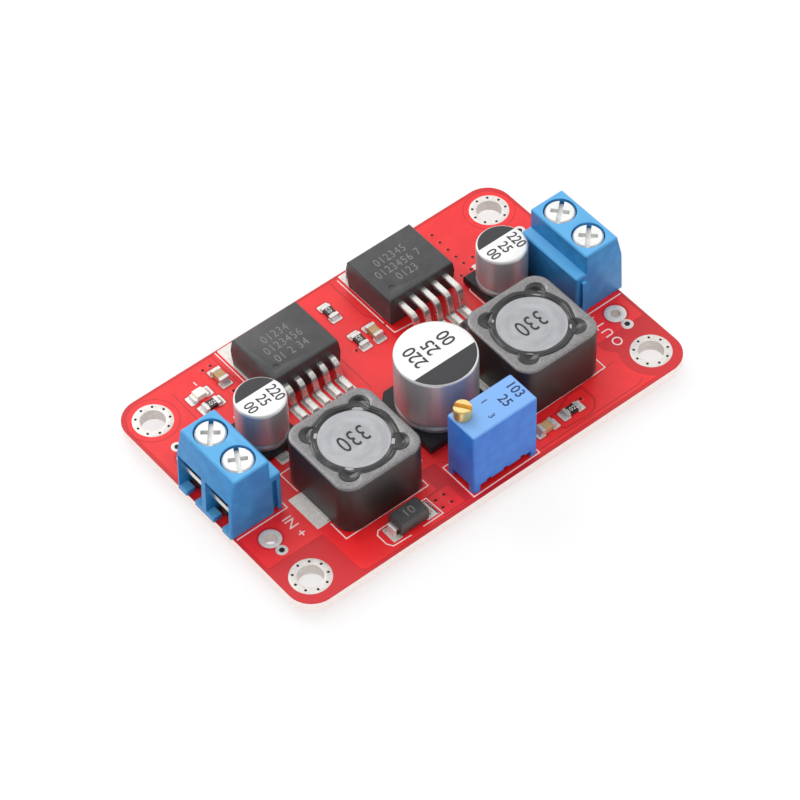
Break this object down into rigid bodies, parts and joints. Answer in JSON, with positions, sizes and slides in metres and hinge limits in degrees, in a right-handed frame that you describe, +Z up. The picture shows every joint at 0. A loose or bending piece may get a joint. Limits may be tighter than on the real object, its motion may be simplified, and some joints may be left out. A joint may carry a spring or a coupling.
{
  "type": "buck-boost converter module",
  "caption": "Small red circuit module that steps a DC voltage up or down, with screw terminals at both ends, shielded coils, can capacitors and a trimmer.",
  "frame": {"origin": "centre of the four mounting holes, on the underside of the board", "axes": "+X along the board from the input terminal to the output terminal, +Z up out of the component side"},
  "size_m": [0.0595, 0.0374, 0.0148],
  "materials": {
    "red_board": "glossy red solder mask with white legend",
    "bright_solder": "bright tin solder",
    "terminal_plastic": "moulded blue polyamide, satin",
    "tinned_contact_metal": "tin plated brass",
    "plated_cage_metal": "nickel plated brass",
    "plated_screw_steel": "bright zinc plated steel",
    "trimmer_plastic": "moulded light blue plastic, satin",
    "trimmer_base_resin": "cast sealing resin",
    "adjuster_brass": "bright turned brass",
    "wheel_plastic": "natural nylon",
    "wiper_spring_metal": "spring bronze strip",
    "element_ceramic": "alumina with a printed resistive track",
    "can_aluminium": "drawn aluminium, satin side, printed top",
    "black_base_plastic": "moulded black plastic",
    "ferrite": "ground grey ferrite",
    "enamelled_copper": "enamelled copper wire",
    "black_adhesive": "glossy black potting adhesive",
    "moulded_epoxy": "moulded black epoxy, fine matte grain",
    "tinned_lead_metal": "bright tin plated copper",
    "tan_chip_ceramic": "tan dielectric ceramic",
    "dark_chip_ceramic": "dark overglaze on alumina",
    "light_base_ceramic": "white light base with plated ends",
    "light_lens_resin": "clear to milky resin lens"
  },
  "bodies": {
    "root": {"boost_inductor_adhesive": "black_adhesive", "boost_inductor_clips": "tinned_lead_metal", "boost_inductor_drum": "ferrite", "boost_inductor_shield": "ferrite", "boost_inductor_winding": "enamelled_copper", "boost_regulator_leads": "tinned_lead_metal", "boost_regulator_package": "moulded_epoxy", "boost_regulator_tab": "tinned_lead_metal", "buck_inductor_adhesive": "black_adhesive", "buck_inductor_clips": "tinned_lead_metal", "buck_inductor_drum": "ferrite", "buck_inductor_shield": "ferrite", "buck_inductor_winding": "enamelled_copper", "buck_regulator_leads": "tinned_lead_metal", "buck_regulator_package": "moulded_epoxy", "buck_regulator_tab": "tinned_lead_metal", "chip_capacitor_bodies": "tan_chip_ceramic", "chip_capacitor_ends": "tinned_lead_metal", "chip_resistor_bodies": "dark_chip_ceramic", "chip_resistor_ends": "tinned_lead_metal", "circuit_board": "red_board", "diode_bodies": "moulded_epoxy", "diode_leads": "tinned_lead_metal", "input_capacitor_base": "black_base_plastic", "input_capacitor_can": "can_aluminium", "input_capacitor_leads": "tinned_lead_metal", "input_minus_contact": "tinned_contact_metal", "input_plus_contact": "tinned_contact_metal", "input_terminal_housing": "terminal_plastic", "link_capacitor_base": "black_base_plastic", "link_capacitor_can": "can_aluminium", "link_capacitor_leads": "tinned_lead_metal", "output_capacitor_base": "black_base_plastic", "output_capacitor_can": "can_aluminium", "output_capacitor_leads": "tinned_lead_metal", "output_minus_contact": "tinned_contact_metal", "output_plus_contact": "tinned_contact_metal", "output_terminal_housing": "terminal_plastic", "pin_solder_joints": "bright_solder", "power_light_base": "light_base_ceramic", "power_light_lens": "light_lens_resin", "trimmer_base": "trimmer_base_resin", "trimmer_case": "trimmer_plastic", "trimmer_element": "element_ceramic", "trimmer_pins": "tinned_lead_metal"},
    "input_minus_screw": {"input_minus_screw": "plated_screw_steel"},
    "input_minus_cage": {"input_minus_cage": "plated_cage_metal"},
    "input_plus_screw": {"input_plus_screw": "plated_screw_steel"},
    "input_plus_cage": {"input_plus_cage": "plated_cage_metal"},
    "output_minus_screw": {"output_minus_screw": "plated_screw_steel"},
    "output_minus_cage": {"output_minus_cage": "plated_cage_metal"},
    "output_plus_screw": {"output_plus_screw": "plated_screw_steel"},
    "output_plus_cage": {"output_plus_cage": "plated_cage_metal"},
    "trimmer_adjuster": {"trimmer_adjuster": "adjuster_brass"},
    "trimmer_wheel": {"trimmer_wheel": "wheel_plastic", "trimmer_wiper": "wiper_spring_metal"}
  },
  "joints": [
    {"name": "input_minus_screw_turn", "type": "hinge", "parent": "root", "child": "input_minus_screw", "pos_m": [-0.02595, 0.00254, 0.0098], "axis": [0, 0, -1], "range_deg": [0, 1712]},
    {"name": "input_minus_cage_rise", "type": "slide", "parent": "root", "child": "input_minus_cage", "axis": [0, 0, 1], "range_m": [0, 0.00237]},
    {"name": "input_plus_screw_turn", "type": "hinge", "parent": "root", "child": "input_plus_screw", "pos_m": [-0.02595, -0.00254, 0.0098], "axis": [0, 0, -1], "range_deg": [0, 1712]},
    {"name": "input_plus_cage_rise", "type": "slide", "parent": "root", "child": "input_plus_cage", "axis": [0, 0, 1], "range_m": [0, 0.00237]},
    {"name": "output_minus_screw_turn", "type": "hinge", "parent": "root", "child": "output_minus_screw", "pos_m": [0.0264, 0.00254, 0.0098], "axis": [0, 0, -1], "range_deg": [0, 1712]},
    {"name": "output_minus_cage_rise", "type": "slide", "parent": "root", "child": "output_minus_cage", "axis": [0, 0, 1], "range_m": [0, 0.00237]},
    {"name": "output_plus_screw_turn", "type": "hinge", "parent": "root", "child": "output_plus_screw", "pos_m": [0.0264, -0.00254, 0.0098], "axis": [0, 0, -1], "range_deg": [0, 1712]},
    {"name": "output_plus_cage_rise", "type": "slide", "parent": "root", "child": "output_plus_cage", "axis": [0, 0, 1], "range_m": [0, 0.00237]},
    {"name": "trimmer_adjuster_turn", "type": "hinge", "parent": "root", "child": "trimmer_adjuster", "pos_m": [-0.00286, -0.01434, 0.0116], "axis": [0, 0, 1], "range_deg": [-4485, 4485]},
    {"name": "trimmer_wheel_turn", "type": "hinge", "parent": "root", "child": "trimmer_wheel", "pos_m": [0.00093, -0.01434, 0.00714], "axis": [0, 1, 0], "range_deg": [-150, 150]}
  ],
  "couplings": [
    {"joint": "input_minus_screw_turn", "follows": "input_minus_cage_rise", "rad_per_m": 12566},
    {"joint": "input_plus_screw_turn", "follows": "input_plus_cage_rise", "rad_per_m": 12566},
    {"joint": "output_minus_screw_turn", "follows": "output_minus_cage_rise", "rad_per_m": 12566},
    {"joint": "output_plus_screw_turn", "follows": "output_plus_cage_rise", "rad_per_m": 12566},
    {"joint": "trimmer_wheel_turn", "follows": "trimmer_adjuster_turn", "ratio": 0.033333}
  ]
}
